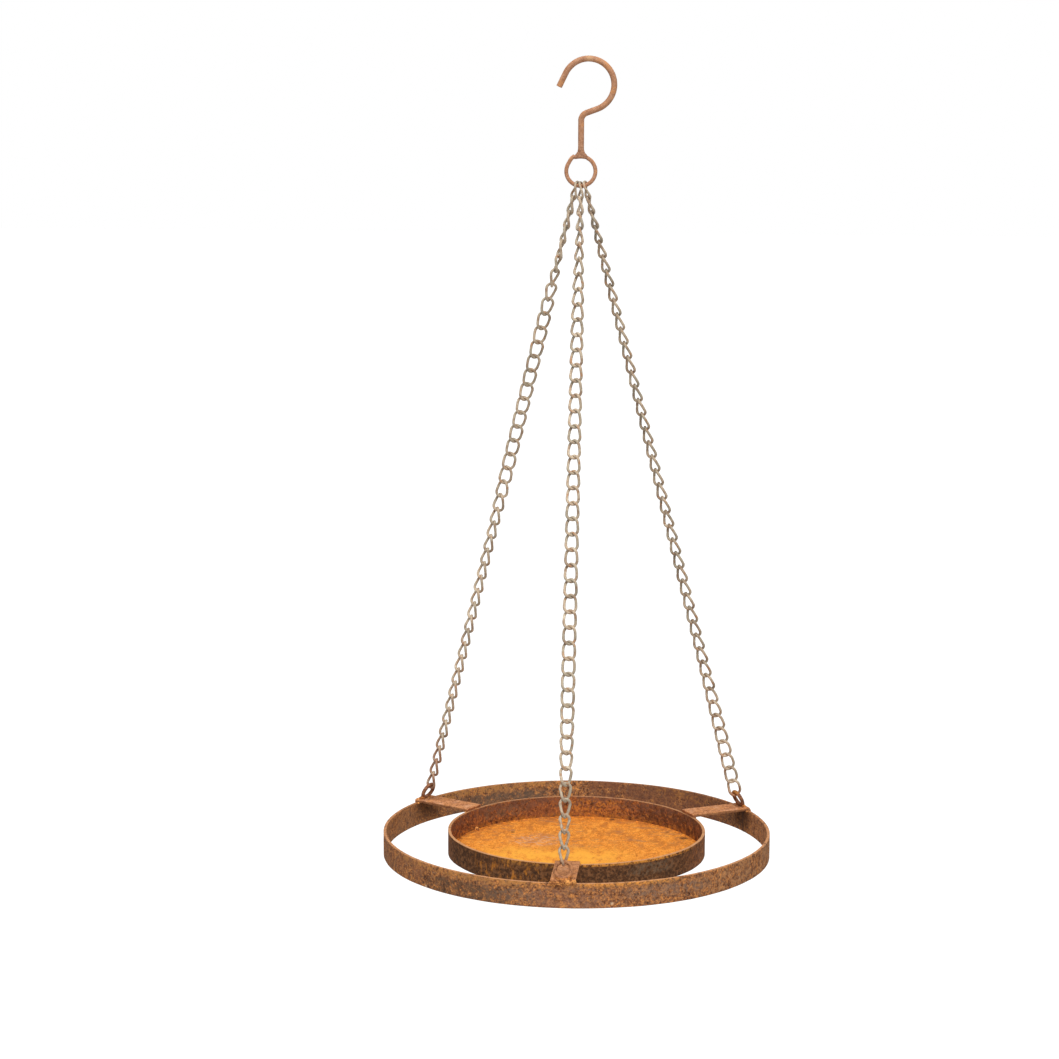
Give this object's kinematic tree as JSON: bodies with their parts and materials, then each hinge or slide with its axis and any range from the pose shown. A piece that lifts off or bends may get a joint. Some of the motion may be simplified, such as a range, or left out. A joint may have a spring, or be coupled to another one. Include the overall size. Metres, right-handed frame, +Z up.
{
  "type": "hanging bird feeder",
  "caption": "Rusted steel hanging bird feeder: a shallow round tray inside a wide perching ring, hung on twisted-link chains from an eye ring and an open hook.",
  "frame": {"origin": "the point inside the top of the hook's bend that bears on the branch or nail it hangs from", "axes": "+Z up along the hook's shank; -Y to the front, where one of the chains comes down; +X to the side that the hook's bend bulges to"},
  "size_m": [0.3999, 0.4, 0.8165],
  "materials": {
    "hook_steel": "light even rust",
    "chain_steel": "dull bare steel with rust stains",
    "eyelet_steel": "dark rust, orange in places",
    "spoke_steel": "pinkish rust",
    "band_steel": "dark brown rust with worn rims",
    "floor_steel": "bright orange rust"
  },
  "bodies": {
    "hanger": {"hook": "hook_steel", "eye_ring": "hook_steel"},
    "feeder": {"outer_ring": "band_steel", "tray_band": "band_steel", "tray_floor": "floor_steel", "spoke_front": "spoke_steel", "eyelet_front": "eyelet_steel", "top_link_front": "chain_steel", "chain_front": "chain_steel", "end_link_front": "chain_steel", "spoke_left": "spoke_steel", "eyelet_left": "eyelet_steel", "top_link_left": "chain_steel", "chain_left": "chain_steel", "end_link_left": "chain_steel", "spoke_right": "spoke_steel", "eyelet_right": "eyelet_steel", "top_link_right": "chain_steel", "chain_right": "chain_steel", "end_link_right": "chain_steel"}
  },
  "joints": [
    {"name": "swing", "type": "hinge", "parent": "hanger", "child": "feeder", "pos_m": [-0.0072, 0, -0.1223], "axis": [1, 0, 0], "range_deg": [-60, 60]}
  ]
}
